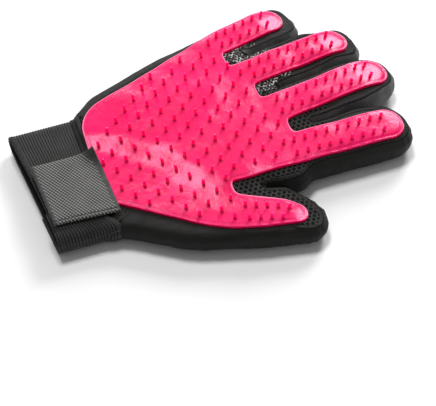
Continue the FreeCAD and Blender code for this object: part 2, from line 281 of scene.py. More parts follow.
def puffed(outline):
    """The cloth's outline, let out into the gaps beside the digits, as soft cloth fills them."""
    points, outward = outline.points, outline.outward
    gap = np.full(len(points), NO_GAP)
    for i, (point, normal) in enumerate(zip(points, outward)):
        offset = outline.dense - point
        ahead = offset @ normal
        beside = abs(offset @ np.array([-normal[1], normal[0]]))
        facing = (ahead > GAP_NEAR) & (ahead < GAP_FAR) & (beside < 0.6)
        if facing.any() and off_wrist(point[None])[0]:
            gap[i] = ahead[facing].min()
    grow = np.where(gap < NO_GAP, np.minimum(GAP_SHARE * gap, GAP_MOST), 0.0)
    for digit in DIGITS:
        ahead, beside = digit.measure(points)
        mine = abs(beside) < digit.half + 4
        grow = grow * (1 - TIP_SLIMMER * mine * smoothstep((ahead - digit.middle_at) / SLIMMER_LONG))
    little_side = smoothstep((outward[:, 1] - 0.5) / 0.3) * (points[:, 1] > 20)
    grow = grow + SIDE_PUFF * little_side * np.exp(-((points[:, 0] - SIDE_PUFF_X) / SIDE_PUFF_LONG) ** 2)
    grow = relaxed(np.where(off_wrist(points), grow, 0.0)[:, None], 10)
    return points + outward * grow


# The back sheet in CAD lies a little inside the gussets, whose outer side is the cloth's flat outline.
FLAT_BACK = Outline(cad_outline("back_panel", CAD_BACK_TOP), CLOTH_STEP)
FLAT_CLOTH = Outline(FLAT_BACK.inset(np.where(off_wrist(FLAT_BACK.points), -CAD_BACK_INSET, 0)), CLOTH_STEP)
CLOTH = Outline(puffed(FLAT_CLOTH), CLOTH_STEP, edge=off_wrist)


def stud_places():
    """The middle of each stud's tip in the CAD pads."""
    studded = [n for n in frame["nodes"] if n.endswith("grip_pad") or n.endswith("grip_studs")]
    tops = np.vstack([cad_vertices(n) for n in studded])
    tops = tops[tops[:, 2] > CAD_STUD_TOP - 0.1][:, :2]
    places = []
    while len(tops):
        near = np.linalg.norm(tops - tops[0], axis=1) < 2.0
        places.append((tops[near].max(axis=0) + tops[near].min(axis=0)) / 2)
        tops = tops[~near]
    return places


# ---------------- the shell's height field

def palm_fullness(xy):
    """How much the front stands over its flat height on the palm: a dome, a step, a bump, waves and dents."""
    ahead = xy[:, 0] - WRIST_X
    from_wrist = smoothstep((ahead - 2) / WRIST_EASE)
    beside = (xy[:, 1] - DOME_MIDDLE_Y[0] - DOME_MIDDLE_Y[1] * ahead) / (DOME_HALF + DOME_WIDENS * ahead)
    fading = 1 - DOME_FADES * smoothstep((ahead - DOME_FADE_FROM) / DOME_FADE_LONG)
    lift = PALM_DOME * np.clip(1 - beside ** 2, 0, 1) ** 1.2 * from_wrist * fading
    offset, across = xy - STEP_POINT, np.array(STEP_ACROSS)
    bent = offset @ across + STEP_CURVE * (offset @ (across[1], -across[0])) ** 2
    lift = lift + STEP_TALL * smoothstep(0.5 + bent / STEP_WIDE) * np.clip(1.3 - abs(beside) * 1.3, 0, 1)
    lift = lift + BUMP_TALL * np.exp(-np.sum((xy - BUMP_POINT) ** 2, axis=1) / BUMP_RADIUS ** 2)
    for tall, size, seed in ((WAVE_TALL, WAVE_LONG, 3.1), (DENT_TALL, DENT_LONG, 8.2)):
        lift = lift + tall * waves(xy, size, seed) * from_wrist
    return lift


def fullness(xy):
    """How much the front stands over or under its flat height, with the digits' crowns and drooping tips."""
    lift = palm_fullness(xy)
    for digit in DIGITS:
        ahead, beside = digit.measure(xy)
        mine = abs(beside) < digit.half + 4.5
        past = np.clip(ahead - (digit.tip_at - TIP_FROM), 0, None)
        lift = lift - np.where(mine, TIP_SLOPE[digit.name] * past ** 2 / (past + TIP_EASE), 0)
        from_middle = np.clip(abs(beside) / digit.half, 0, 1)
        on_digit = smoothstep((ahead - CROWN_FROM) / CROWN_EASE)
        lift = lift + np.where(mine, DIGIT_CROWN * (1 - from_middle ** 2) * on_digit, 0)
        if digit.name == "thumb":
            lift = lift - np.where(mine, THUMB_TILT * beside * smoothstep(past / TILT_EASE), 0)
    return lift


def on_digits(xy):
    """1 on the digits, 0 on the palm, with a soft change just behind the knuckles."""
    share = np.zeros(len(xy))
    for digit in DIGITS:
        ahead, beside = digit.measure(xy)
        mine = 1 - smoothstep((abs(beside) - digit.half - DIGIT_MARGIN) / DIGIT_MARGIN)
        share = np.maximum(share, mine * smoothstep((ahead - DIGIT_FROM) / DIGIT_EASE))
    return share


def edge_profile(xy):
    """0 at the cloth's outline, 1 far enough inside it: a quarter of a boxy ellipse."""
    round_over = PALM_ROUND + (DIGIT_ROUND - PALM_ROUND) * on_digits(xy)
    u = np.clip(CLOTH.distance(xy) / round_over, 0, 1)
    return (1 - (1 - u) ** SIDE_POWER) ** (1 / SIDE_POWER)


def front_z(xy):
    """The height of the front sheet, which the pad lies on."""
    return MIDDLE_Z + (SHELL_HALF + fullness(xy)) * edge_profile(xy)


def back_z(xy):
    """The height of the back sheet, which lies near the floor."""
    rise = BACK_WAVE * (0.5 + 0.5 * waves(xy, 26, 5.7))
    return MIDDLE_Z - (SHELL_HALF - BACK_FLATTER - rise) * edge_profile(xy)


# ---------------- pieces

SQUARE = [(-1, -1), (1, -1), (1, 1), (-1, 1)]


class Build:
    """Vertices, faces and a material number for each face, gathered before a piece is made."""

    def __init__(self):
        self.verts, self.faces, self.mats, self.count = [], [], [], 0

    def add(self, verts, faces, mat=0):
        self.verts.append(np.asarray(verts, float))
        self.faces += [tuple(int(v) + self.count for v in f) for f in faces]
        self.mats += [mat] * len(faces)
        self.count += len(verts)
        return self

    def arrays(self):
        return np.vstack(self.verts), self.faces, np.array(self.mats)


def grid_faces(rows, columns, closed=False, flip=False):
    """Quads between rows of points. closed joins the last column to the first."""
    faces = []
    for i in range(rows - 1):
        for j in range(columns if closed else columns - 1):
            k = (j + 1) % columns
            quad = (i * columns + j, i * columns + k, (i + 1) * columns + k, (i + 1) * columns + j)
            faces.append(quad[::-1] if flip else quad)
    return faces


def filled(loop, spacing):
    """Triangles over a closed flat loop, with a staggered grid of points inside it."""
    low, high = loop.min(axis=0), loop.max(axis=0)
    row_gap = spacing * math.sqrt(3) / 2
    rows = []
    for i, y in enumerate(np.arange(low[1], high[1], row_gap)):
        xs = np.arange(low[0] + (i % 2) * spacing / 2, high[0], spacing)
        rows.append(np.c_[xs, np.full(len(xs), y)])
    inner = np.vstack(rows)
    rim = Outline(loop, spacing / 2)
    inner = inner[rim.signed(inner) > 0.6 * spacing]
    points = [Vector(p) for p in np.vstack([loop, inner])]
    verts, _, faces, *_ = delaunay_2d_cdt(points, [], [list(range(len(loop)))], 1, 1e-5)
    return np.array([tuple(v) for v in verts]), [tuple(f) for f in faces]


def placed(name, data):
    """A new object in the scene."""
    obj = bpy.data.objects.new(name, data)
    bpy.context.scene.collection.objects.link(obj)
    return obj


def make_piece(name, verts, faces, materials, mats, normals=None):
    """An object in metres. mats holds each face's material number, and normals each vertex's own normal."""
    mesh = bpy.data.meshes.new(name)
    mesh.from_pydata((verts * MM).tolist(), [], [list(f) for f in faces])
    for material in materials:
        mesh.materials.append(material)
    mesh.polygons.foreach_set("material_index", np.asarray(mats, np.int32))
    mesh.polygons.foreach_set("use_smooth", np.ones(len(mesh.polygons), bool))
    mesh.update()
    if normals is not None:
        mesh.normals_split_custom_set_from_vertices(normals.tolist())
    return placed(name, mesh)


def whole_normals(verts, faces):
    """Smooth vertex normals of a whole layer, before it is shared out."""
    mesh = bpy.data.meshes.new("whole")
    mesh.from_pydata(verts.tolist(), [], [list(f) for f in faces])
    normals = np.zeros(len(mesh.vertices) * 3)
    mesh.vertices.foreach_get("normal", normals)
    bpy.data.meshes.remove(mesh)
    return normals.reshape(-1, 3)


def reached(xy):
    """The section that each point has reached: 0 is the palm, 1 + 2 n digit n's base and 2 + 2 n its end."""
    section = np.zeros(len(xy), int)
    closest = np.full(len(xy), 6.5)
    for n, digit in enumerate(DIGITS):
        ahead, beside = digit.measure(xy)
        away = abs(beside) - digit.half
        mine = (away < closest) & (ahead > -KNUCKLE_LEAD + ON_CREASE)
        closest[mine] = away[mine]
        section[mine] = 1 + 2 * n
        section[mine & (ahead > digit.middle_at - MIDDLE_LEAD + ON_CREASE)] = 2 + 2 * n
    return section


def hang(obj, section):
    """Hangs a piece of the palm on the hand. A digit's piece only has its transform baked into its mesh."""
    if section == 0:
        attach(obj, "hand")
        return
    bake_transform(obj)


def section_name(section):
    if section == 0:
        return "palm"
    return f"{DIGITS[(section - 1) // 2].name}_{'base' if section % 2 else 'end'}"


def share_out(layer, build, materials, palm_groups=None):
    """Cuts a whole layer into its sections' pieces, each of which replaces the CAD node of its own name."""
    verts, faces, mats = build.arrays()
    normals = whole_normals(verts, faces)
    at = reached(verts[:, :2])
    owner = np.array([max(at[v] for v in f) for f in faces])
    groups = {}
    for i, section in enumerate(owner):
        label = section_name(section) + "_" + layer
        if section == 0 and palm_groups:
            label = palm_groups(verts[list(faces[i])].mean(axis=0))
        groups.setdefault((int(section), label), []).append(i)
    for (section, label), chosen in sorted(groups.items()):
        used = sorted({v for i in chosen for v in faces[i]})
        place = {v: k for k, v in enumerate(used)}
        piece = make_piece(label + "_piece", verts[used], [[place[v] for v in faces[i]] for i in chosen],
                           materials, mats[chosen], normals[used])
        hang(piece, section)
        stands_for = {label, label.replace("pad", "studs")} & set(frame["nodes"])
        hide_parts(*sorted(stands_for))


# ---------------- materials

def feed(socket, value):
    """Links another socket to this one, or sets this one's own value."""
    if isinstance(value, bpy.types.NodeSocket):
        socket.id_data.links.new(value, socket)
    else:
        socket.default_value = value


def add_node(tree, kind, settings=None, **inputs):
    """A shader node. An input's name has underscores for spaces."""
    node = tree.nodes.new("ShaderNode" + kind)
    for name, value in (settings or {}).items():
        setattr(node, name, value)
    for name, value in inputs.items():
        feed(node.inputs[name.replace("_", " ")], value)
    return node


class Surface:
    """A Principled material under construction, with textures in the object's own coordinates."""

    def __init__(self, name, **principled):
        self.material = bpy.data.materials.new(name)
        self.material.use_nodes = True
        self.tree = self.material.node_tree
        self.shader = self.tree.nodes["Principled BSDF"]
        for name, value in principled.items():
            feed(self.shader.inputs[name.replace("_", " ")], value)
        self.place = add_node(self.tree, "TexCoord").outputs["Object"]

    def noise(self, size_mm, detail=2.0, stretch=(1, 1, 1), distortion=0.0):
        place = self.place
        if stretch != (1, 1, 1):
            place = add_node(self.tree, "Mapping", Vector=place, Scale=stretch).outputs[0]
        return add_node(self.tree, "TexNoise", Vector=place, Scale=1000.0 / size_mm, Detail=detail,
                        Distortion=distortion).outputs["Fac"]

    def bands(self, pitch_mm, turn_deg=(0, 0, 0)):
        """Ridges across the turned x axis, from 0 to 1."""
        place = add_node(self.tree, "Mapping", Vector=self.place,
                         Rotation=[math.radians(a) for a in turn_deg]).outputs[0]
        settings = {"wave_type": "BANDS", "bands_direction": "X", "wave_profile": "SIN"}
        scale = math.pi / (10 * pitch_mm * MM)
        return add_node(self.tree, "TexWave", settings, Vector=place, Scale=scale).outputs["Fac"]

    def math(self, operation, a, b=0.0, c=0.0):
        node = add_node(self.tree, "Math", {"operation": operation})
        for socket, value in zip(node.inputs, (a, b, c)):
            feed(socket, value)
        return node.outputs[0]

    def colour(self, value, low, high, tints):
        """The base colour runs from one tint to the other as the value goes from low to high."""
        node = add_node(self.tree, "ValToRGB", Fac=value)
        for element, at, tint in zip(node.color_ramp.elements, (low, high), tints):
            element.position = at
            element.color = (*tint, 1)
        feed(self.shader.inputs["Base Color"], node.outputs["Color"])
        return self

    def rough(self, value, low, high):
        node = add_node(self.tree, "MapRange", Value=value, To_Min=low, To_Max=high)
        feed(self.shader.inputs["Roughness"], node.outputs[0])
        return self

    def bump(self, *layers):
        """Each layer is (height socket, height in millimetres)."""
        normal = None
        for height, tall in layers:
            node = add_node(self.tree, "Bump", Height=height, Distance=tall * MM, Strength=1.0)
            if normal:
                feed(node.inputs["Normal"], normal)
            normal = node.outputs[0]
        feed(self.shader.inputs["Normal"], normal)
        return self


def grip_silicone(name, tints, **more):
    """Moulded rubber with a broken gloss. Its highlights are tinted towards the rubber's own pink."""
    s = Surface(name, IOR=1.43, Specular_IOR_Level=0.42, Specular_Tint=(1.0, 0.72, 1.0, 1.0), **more)
    s.colour(s.noise(26, 3), 0.3, 0.72, tints).rough(s.noise(9, 4), 0.22, 0.32)
    return s.bump((s.noise(0.9, 3), 0.05), (s.noise(7, 2), 0.32)).material


def yarn(name, dark, light, sheen=0.06, roughness=0.62):
    """Spun yarn: fine fibres under broad patches of shade."""
    s = Surface(name, Sheen_Weight=sheen, Sheen_Roughness=0.4, Specular_IOR_Level=0.2)
    fibres = s.noise(0.5, 4, (1, 4, 2))
    s.colour(s.math("MULTIPLY", fibres, s.noise(7, 2)), 0.12, 0.42, [dark, light])
    s.rough(fibres, roughness - 0.1, roughness + 0.15)
    return s.bump((fibres, 0.10), (s.noise(1.4, 2), 0.08)).material


def painted_glint_yarn(name, dark, light):
    """Mesh yarn with small bright flecks painted into its colour: painted glints that stand in for light
    catching single threads and showing through the fine mesh.
    """
    s = Surface(name, Roughness=0.4, Specular_IOR_Level=0.4)
    painted_glint = s.noise(1.7, 3)
    s.colour(painted_glint, 0.52, 0.61, [dark, light])
    return s.bump((s.noise(0.5, 4, (1, 4, 2)), 0.1)).material


def knit(name, dark, light):
    """Smooth stretch knit: very fine rows and wales, a soft sheen, and small pulls."""
    s = Surface(name, Sheen_Weight=0.05, Sheen_Roughness=0.35, Specular_IOR_Level=0.22)
    wales = s.math("ADD", s.bands(0.55, (0, 0, 90)), s.bands(0.55, (0, 90, 0)))
    loops = s.math("MULTIPLY", s.bands(0.62), wales)
    mottle = s.noise(11, 4)
    s.colour(s.math("MULTIPLY_ADD", loops, 0.25, mottle), 0.35, 0.95, [dark, light])
    folds = s.noise(8, 2, (0.22, 1, 1))
    return s.rough(mottle, 0.48, 0.72).bump((loops, 0.08), (s.noise(4.5, 3), 0.22), (folds, 0.9)).material


def ribbed_elastic(name, dark, light):
    """Covered elastic: cross threads over the modelled ribs, worn lighter in broad random patches."""
    s = Surface(name, Sheen_Weight=0.06, Sheen_Roughness=0.4, Specular_IOR_Level=0.2)
    cross = s.bands(0.85, (0, 0, 90))
    fuzz = s.noise(0.7, 4)
    worn = s.math("MULTIPLY_ADD", s.noise(16, 3), 0.5, s.math("MULTIPLY", fuzz, 0.4))
    s.colour(s.math("MULTIPLY_ADD", cross, 0.35, worn), 0.3, 0.95, [dark, light])
    return s.rough(fuzz, 0.55, 0.8).bump((cross, 0.12), (fuzz, 0.08)).material


def hook_tape_weave():
    """Grey woven tape: a diagonal twill of short bright floats over dark gaps."""
    s = Surface("hook_tape_weave", Sheen_Weight=0.05, Specular_IOR_Level=0.25)
    floats = s.math("MULTIPLY_ADD", s.bands(1.6, (0, 0, 50)), 0.72, 0.28)
    twill = s.math("MULTIPLY", s.bands(1.55, (0, 0, -32)), floats)
    fine = s.noise(0.5, 3)
    shade = s.math("MULTIPLY_ADD", s.noise(12, 3), 0.25, s.math("MULTIPLY_ADD", fine, 0.25, twill))
    s.colour(shade, 0.28, 0.92, [(0.006, 0.006, 0.0058), (0.215, 0.212, 0.206)])
    return s.rough(fine, 0.5, 0.75).bump((twill, 0.22), (fine, 0.06)).material


def tape_selvage():
    """The tape's plain edge: a close dark grey weave. On the tape's right edge and lifted corner it is also
    painted shade, where the tape curls up out of the light.
    """
    s = Surface("tape_selvage", Specular_IOR_Level=0.25)
    weave = s.math("MULTIPLY", s.bands(0.7), s.bands(0.7, (0, 0, 90)))
    mottle = s.noise(5, 3)
    shade = s.math("MULTIPLY_ADD", weave, 0.4, mottle)
    s.colour(shade, 0.3, 1.0, [(0.016, 0.017, 0.016), (0.085, 0.088, 0.084)])
    return s.rough(mottle, 0.5, 0.7).bump((weave, 0.08)).material


def loop_pile():
    """The brushed patch's tangled loops."""
    s = Surface("loop_pile", Roughness=0.85, Sheen_Weight=0.15, Sheen_Roughness=0.5, Specular_IOR_Level=0.1)
    curls = s.noise(0.8, 6, distortion=2.2)
    s.colour(curls, 0.35, 0.7, [(0.006, 0.006, 0.006), (0.034, 0.034, 0.033)])
    return s.bump((curls, 0.5), (s.noise(4, 2), 0.3)).material


def thread(name, dark, light):
    """Twisted sewing thread."""
    s = Surface(name, Roughness=0.5, Sheen_Weight=0.05, Specular_IOR_Level=0.25)
    twist = s.bands(0.45, (0, 0, 35))
    return s.colour(twist, 0.2, 0.8, [dark, light]).bump((twist, 0.05)).material


def hook_plastic():
    s = Surface("hook_plastic", Roughness=0.38)
    s.colour(s.noise(3, 2), 0.3, 0.7, [(0.012, 0.012, 0.012), (0.03, 0.03, 0.03)])
    return s.bump((s.noise(0.6, 2), 0.03)).material


def paper_floor():
    s = Surface("paper_floor", Roughness=0.9, Specular_IOR_Level=0.1)
    return s.colour(s.noise(60, 2), 0.3, 0.7, [(0.96, 0.96, 0.96), (0.97, 0.97, 0.97)]).material


# Pink light goes deepest into the rubber. The studs' emission is a painted glow, and their base colour is
# painted lighter than the pad's: both stand in for light that comes through the thin studs from all sides
# and lifts their shaded sides.
PINK_DEPTH, STUD_PAINTED_GLOW = (1.0, 0.25, 0.80), 0.20
SILICONE = grip_silicone("grip_silicone", [(0.84, 0.0008, 0.108), (0.92, 0.0016, 0.138)],
                         Subsurface_Weight=0.55, Subsurface_Scale=0.004, Subsurface_Radius=PINK_DEPTH)
STUDS = grip_silicone("grip_stud_silicone", [(0.95, 0.003, 0.15), (0.98, 0.005, 0.18)],
                      Subsurface_Weight=0.85, Subsurface_Scale=0.005, Subsurface_Radius=PINK_DEPTH,
                      Emission_Strength=STUD_PAINTED_GLOW, Emission_Color=(1.0, 0.012, 0.09, 1.0))
# The pad's pale edge is a painted highlight: a lighter pink on the rim where it faces the lights.
RIM_PAINTED_HIGHLIGHT = grip_silicone("grip_rim_silicone", [(0.92, 0.14, 0.32), (0.95, 0.26, 0.44)])
FRONT_YARN = yarn("front_mesh_yarn", (0.006, 0.0062, 0.006), (0.034, 0.035, 0.033))
# Bright flecks in this yarn's colour are painted glints.
PAINTED_GLINT_YARN = painted_glint_yarn("glinting_mesh_yarn", (0.010, 0.0115, 0.0105), (0.60, 0.62, 0.60))
BACK_YARN = yarn("back_mesh_yarn", (0.006, 0.006, 0.006), (0.034, 0.033, 0.032))
# A near-black sheet under the open mesh: painted shade that stands in for the shaded inside of the glove seen
# through the holes.
PAINTED_SHADE_SHEET = yarn("lining_cloth", (0.001, 0.001, 0.001), (0.004, 0.004, 0.004), 0.0, 0.9)
GUSSET = knit("gusset_knit", (0.0025, 0.0024, 0.002), (0.013, 0.0125, 0.011))
# The strips between the digits are a paler knit than the gussets, and their colour is also raised as painted
# fill light on these shaded walls.
FINGER_SIDE = knit("finger_side_knit", (0.060, 0.064, 0.062), (0.165, 0.172, 0.168))
BINDING = knit("binding_knit", (0.004, 0.004, 0.0037), (0.018, 0.018, 0.017))
ELASTIC = ribbed_elastic("ribbed_elastic", (0.012, 0.012, 0.0115), (0.062, 0.062, 0.060))
# The grooves between the elastic's ribs get a near-black copy of the elastic: painted shade.
GROOVE_PAINTED_SHADE = ribbed_elastic("elastic_groove", (0.001, 0.001, 0.001), (0.006, 0.006, 0.006))
TAPE = hook_tape_weave()
SELVAGE_AND_SHADE = tape_selvage()
PILE = loop_pile()
PINK_THREAD = thread("pink_thread", (0.30, 0.003, 0.045), (0.48, 0.012, 0.10))
BLACK_THREAD = thread("black_thread", (0.006, 0.006, 0.006), (0.05, 0.05, 0.048))
HOOKS = hook_plastic()


# ---------------- stitches

# One stitch's rings: how far along it they are, their share of its radius, and how far they drop.
STITCH_RINGS = [(0, 0.35, 0.9), (0.15, 0.9, 0.2), (0.5, 1.0, 0.0), (0.85, 0.9, 0.2), (1, 0.35, 0.9)]
STITCH_SIDES = 6


def turns(sides):
    return [2 * math.pi * k / sides for k in range(sides)]


def one_stitch(a, b, radius):
    """A stitch from a to b: a small round bar whose ends dive into the cloth."""
    along = (b - a) / np.linalg.norm(b - a)
    side = np.cross(along, (0, 0, 1))
    side = side / np.linalg.norm(side) if np.linalg.norm(side) > 1e-6 else np.array([1.0, 0, 0])
    up = np.cross(side, along)
    verts = []
    for at, swell, drop in STITCH_RINGS:
        centre = a + (b - a) * at - up * radius * drop
        for turn in turns(STITCH_SIDES):
            verts.append(centre + radius * swell * (math.cos(turn) * side + math.sin(turn) * up))
    last = (len(STITCH_RINGS) - 1) * STITCH_SIDES
    faces = grid_faces(len(STITCH_RINGS), STITCH_SIDES, closed=True)
    faces += [tuple(range(STITCH_SIDES))[::-1], tuple(range(last, last + STITCH_SIDES))]
    return np.array(verts), faces


def stitch_row(build, path, mat, long, gap, radius, closed=True):
    """Stitches end to end along a path of 3-D points."""
    points = np.vstack([path, path[:1]]) if closed else path
    lengths = np.r_[0, np.cumsum(np.linalg.norm(np.diff(points, axis=0), axis=1))]
    count = int(lengths[-1] / (long + gap))
    pitch = lengths[-1] / count
    for i in range(count):
        ends = [i * pitch, i * pitch + pitch - gap]
        a, b = (np.array([np.interp(e, lengths, points[:, k]) for k in range(3)]) for e in ends)
        build.add(*one_stitch(a, b, radius), mat)
    return build


# ---------------- grip pad

# The pad's section from its foot over its rim to its flat top, as (inset, height), and which rows of its
# faces are the thin pale edge, a painted highlight.
PAD_RIM = [(0.2, -0.5), (0.0, 0.1), (-0.03, 0.8), (0.0, 1.4), (0.08, 1.68), (0.22, 1.84), (0.42, 1.88),
           (0.62, 1.83), (0.85, 1.76), (1.2, 1.76), (1.7, 1.78), (2.3, 1.8), (3.2, 1.8)]
PAINTED_HIGHLIGHT_ROWS = range(3, 7)
# The edge gets its pale painted highlight except where it faces the camera, away from the lights: its
# outward direction has at least this share of the direction away from the camera.
AWAY, PAINTED_HIGHLIGHT_FROM = (0.33, 0.94), -0.35
PAD_STITCH_INSET = 2.7
# A stud's section from its flared foot to its tip, as (radius, height).
STUD_RINGS = [(1.3, -0.3), (1.12, 0.02), (1.02, 0.3), (0.98, 1.0), (0.96, 2.6), (0.93, 3.6), (0.86, 4.2),
              (0.66, 4.5), (0.3, 4.62)]
STUD_SIDES = 12
DIGIT_STUD_SHORTER = 0.14


def stud(place, surface_z, slope, tall):
    """One rubber stud, with a flared foot and a rounded tip, leaning with the pad under it."""
    verts, up = [], np.array([*slope, 1.0])
    up /= np.linalg.norm(up)
    for radius, height in STUD_RINGS:
        for turn in turns(STUD_SIDES):
            flat = np.array([math.cos(turn) * radius, math.sin(turn) * radius, 0])
            flat[2] = -flat[:2] @ up[:2]
            verts.append(np.array([*place, surface_z]) + up * height * tall + flat)
    faces = grid_faces(len(STUD_RINGS), STUD_SIDES, closed=True)
    last = (len(STUD_RINGS) - 1) * STUD_SIDES
    return np.array(verts), faces + [tuple(range(last, last + STUD_SIDES))]


def pad_top(xy):
    return front_z(xy) + PAD_THICK


def build_pad():
    """The whole pad. Its materials are the rubber, the stitches, the studs with their painted glow, and the
    pale edge, which is a painted highlight.
    """
    rings = [PAD.inset(inset) for inset, _ in PAD_RIM]
    edge_z = front_z(PAD.points)
    rows = []
    for ring, (inset, height) in zip(rings, PAD_RIM):
        share = smoothstep((inset - 0.2) / 3.0)
        rows.append(np.c_[ring, edge_z + share * (front_z(ring) - edge_z) + height])
    rows[-1] = np.c_[rings[-1], pad_top(rings[-1])]
    count = len(PAD.points)
    build = Build().add(np.vstack(rows), grid_faces(len(rings), count, closed=True))
    # Rim faces that are not turned to the camera get the pale edge's painted highlight.
    pale = PAD.outward @ np.array(AWAY) > PAINTED_HIGHLIGHT_FROM
    build.mats = [3 if k // count in PAINTED_HIGHLIGHT_ROWS and pale[k % count] else 0 for k in range(len(build.faces))]
    flat, faces = filled(rings[-1], 2.1)
    build = weld(build.add(np.c_[flat, pad_top(flat)], faces))
    for place in stud_places():
        near = np.array([place, place + (1, 0), place + (0, 1)])
        z = pad_top(near)
        tall = 1 - DIGIT_STUD_SHORTER * on_digits(near[:1])[0]
        build.add(*stud(place, z[0], (z[0] - z[1], z[0] - z[2]), tall), 2)
    line = PAD.inset(PAD_STITCH_INSET)
    return stitch_row(build, np.c_[line, pad_top(line) - 0.02], 1, long=0.75, gap=1.15, radius=0.24)


def weld(build, within=0.004):
    """Joins vertices that lie on the same spot, so that normals run smoothly over the join."""
    verts, faces, mats = build.arrays()
    keys, order, place = {}, [], []
    for i, v in enumerate(np.round(verts / within).astype(int)):
        key = tuple(v)
        if key not in keys:
            keys[key] = len(order)
            order.append(i)
        place.append(keys[key])
    joined = Build()
    joined.verts, joined.count = [verts[order]], len(order)
    for face, mat in zip(faces, mats):
        corners = [place[v] for v in face]
        if len(set(corners)) >= 3:
            joined.faces.append(tuple(corners))
            joined.mats.append(int(mat))
    return joined


# ---------------- front and back sheets

# How far behind each digit's tip the crotch beside it lies, and how far before and past it the finer mesh
# with painted glints reaches.
CROTCH_DEEP = dict(little=50.0, ring=66.0, middle=66.0, index=62.0)
CROTCH_BEFORE, CROTCH_PAST = 12.0, 14.0
# The front seam's inset, and how much wider it is on the palm's thumb side and little-finger side.
SEAM_INSET, THUMB_WIDER, LITTLE_WIDER = 2.1, 9.5, 5.5
BACK_SEAM_INSET = 2.6
# The open mesh's cells and the width of yarn round a hole.
MESH_PITCH, MESH_WALL = (3.2, 2.7), 1.05
HALF_CELL = [(0, 2 / 3), (0.25, 0.5), (0.5, 1 / 3), (0.5, 0), (0.5, -1 / 3), (0.25, -0.5)]
CELL = np.array(HALF_CELL + [(-x, -y) for x, y in HALF_CELL])
FINE_MESH = 0.72


def seam_inset(points):
    """How far inside the cloth's outline the front seam runs."""
    x, y = points[:, 0], points[:, 1]
    little_x, (thumb_x, thumb_y) = DIGITS[0].knuckle[0], DIGITS[4].knuckle
    thumb_side = smoothstep((-y - 38) / 10) * (1 - smoothstep((x - (thumb_x + 1)) / 15))
    thumb_side *= (y < thumb_y + (thumb_x - x) * 0.4 + 2)
    little_side = smoothstep((y - 30) / 12) * (1 - smoothstep((x - (little_x - 8)) / 18))
    inset = SEAM_INSET + THUMB_WIDER * thumb_side + LITTLE_WIDER * little_side
    return np.where(off_wrist(points), inset, 0.0)


FRONT_SEAM = CLOTH.inset(seam_inset(CLOTH.points))
BACK_SEAM = CLOTH.inset(np.where(off_wrist(CLOTH.points), BACK_SEAM_INSET, 0.0))


def mesh_cells(build, keep, height, facing, ridge, mat=0, fine=1.0):
    """Open honeycomb cloth: one ring of rounded yarn round each stretched hexagonal hole.

    keep(xy) chooses the cells, height(xy) gives the sheet's own height, and facing is 1 for a sheet seen
    from above and -1 for one seen from below."""
    px, py = MESH_PITCH[0] * fine, MESH_PITCH[1] * fine
    low, high = CLOTH.points.min(axis=0), CLOTH.points.max(axis=0)
    across, down = (int(n) + 2 for n in (high - low) / (px, py))
    centres = np.array([(low[0] + px * (i + 0.5 * (j % 2)), low[1] + py * j)
                        for j in range(down) for i in range(across)])
    centres = centres[keep(centres)]
    corner = CELL * (px, py)
    reach = np.linalg.norm(corner, axis=1)[:, None]
    hole = relaxed(corner * (1 - MESH_WALL * fine / reach * 0.62), 1)
    rings = [(corner, ridge), (0.45 * corner + 0.55 * hole, ridge - 0.10), (hole, ridge - 0.5),
             (hole * 1.04, ridge - 1.05)]
    xy = np.vstack([centres[:, None] + ring[None] for ring, _ in rings]).reshape(-1, 2)
    n, sides = len(CELL) * len(centres), len(CELL)
    z = height(xy) + facing * np.repeat([tall for _, tall in rings], n)
    faces = []
    for first in range(0, (len(rings) - 1) * n, sides):
        for k in range(sides):
            a, b = first + k, first + (k + 1) % sides
            quad = (a, b, b + n, a + n)
            faces.append(quad if facing < 0 else quad[::-1])
    verts, faces, _ = weld(Build().add(np.c_[xy, z], faces), 0.02).arrays()
    build.add(verts, faces, mat)


def open_mesh(xy):
    """The front sheet's kind of cloth: 0 plain, 1 open mesh, 2 the finer mesh that has painted glints in
    the crotches.
    """
    kind = np.ones(len(xy), int)
    for digit in DIGITS[:4]:
        ahead, beside = digit.measure(xy)
        mine = abs(beside) < digit.half + 5
        past_crotch = ahead - digit.tip_at + CROTCH_DEEP[digit.name]
        if digit.name in ("little", "ring"):
            kind[mine & (past_crotch > -CROTCH_BEFORE) & (past_crotch < CROTCH_PAST)] = 2
        plain = mine & (past_crotch >= CROTCH_PAST)
        thumb_side = (beside <= 0) & (digit.name == "index")
        kind[plain] = np.where(thumb_side, 1, 0)[plain]
    kind[(xy[:, 0] < WRIST_X + 14) & (xy[:, 1] < 0)] = 0
    return kind


def build_front():
    """The front sheet. Its materials are the mesh, a near-black sheet under it that is painted shade, the
    plain cloth and the finer mesh with painted glints.
    """
    flat, faces = filled(FRONT_SEAM, 3.0)
    build = Build().add(np.c_[flat, front_z(flat) - 0.15], faces)
    centres = np.array([flat[list(f)].mean(axis=0) for f in faces])
    # Under the open mesh the sheet gets the near-black painted shade.
    build.mats = [2 if kind == 0 else 1 for kind in open_mesh(centres)]
    seam = Outline(FRONT_SEAM, 1.0)
    for wanted, mat, fine in ((1, 0, 1.0), (2, 3, FINE_MESH)):
        def keep(centres):
            shown = (seam.signed(centres) > 1.5) & (PAD.signed(centres) < 1.2) & off_wrist(centres - (3, 0))
            return shown & (open_mesh(centres) == wanted)

        mesh_cells(build, keep, front_z, 1, ridge=0.35, mat=mat, fine=fine)
    return build.add(*strip_between(FRONT_SEAM, 2.6, front_z, 0.12, 1), 2)


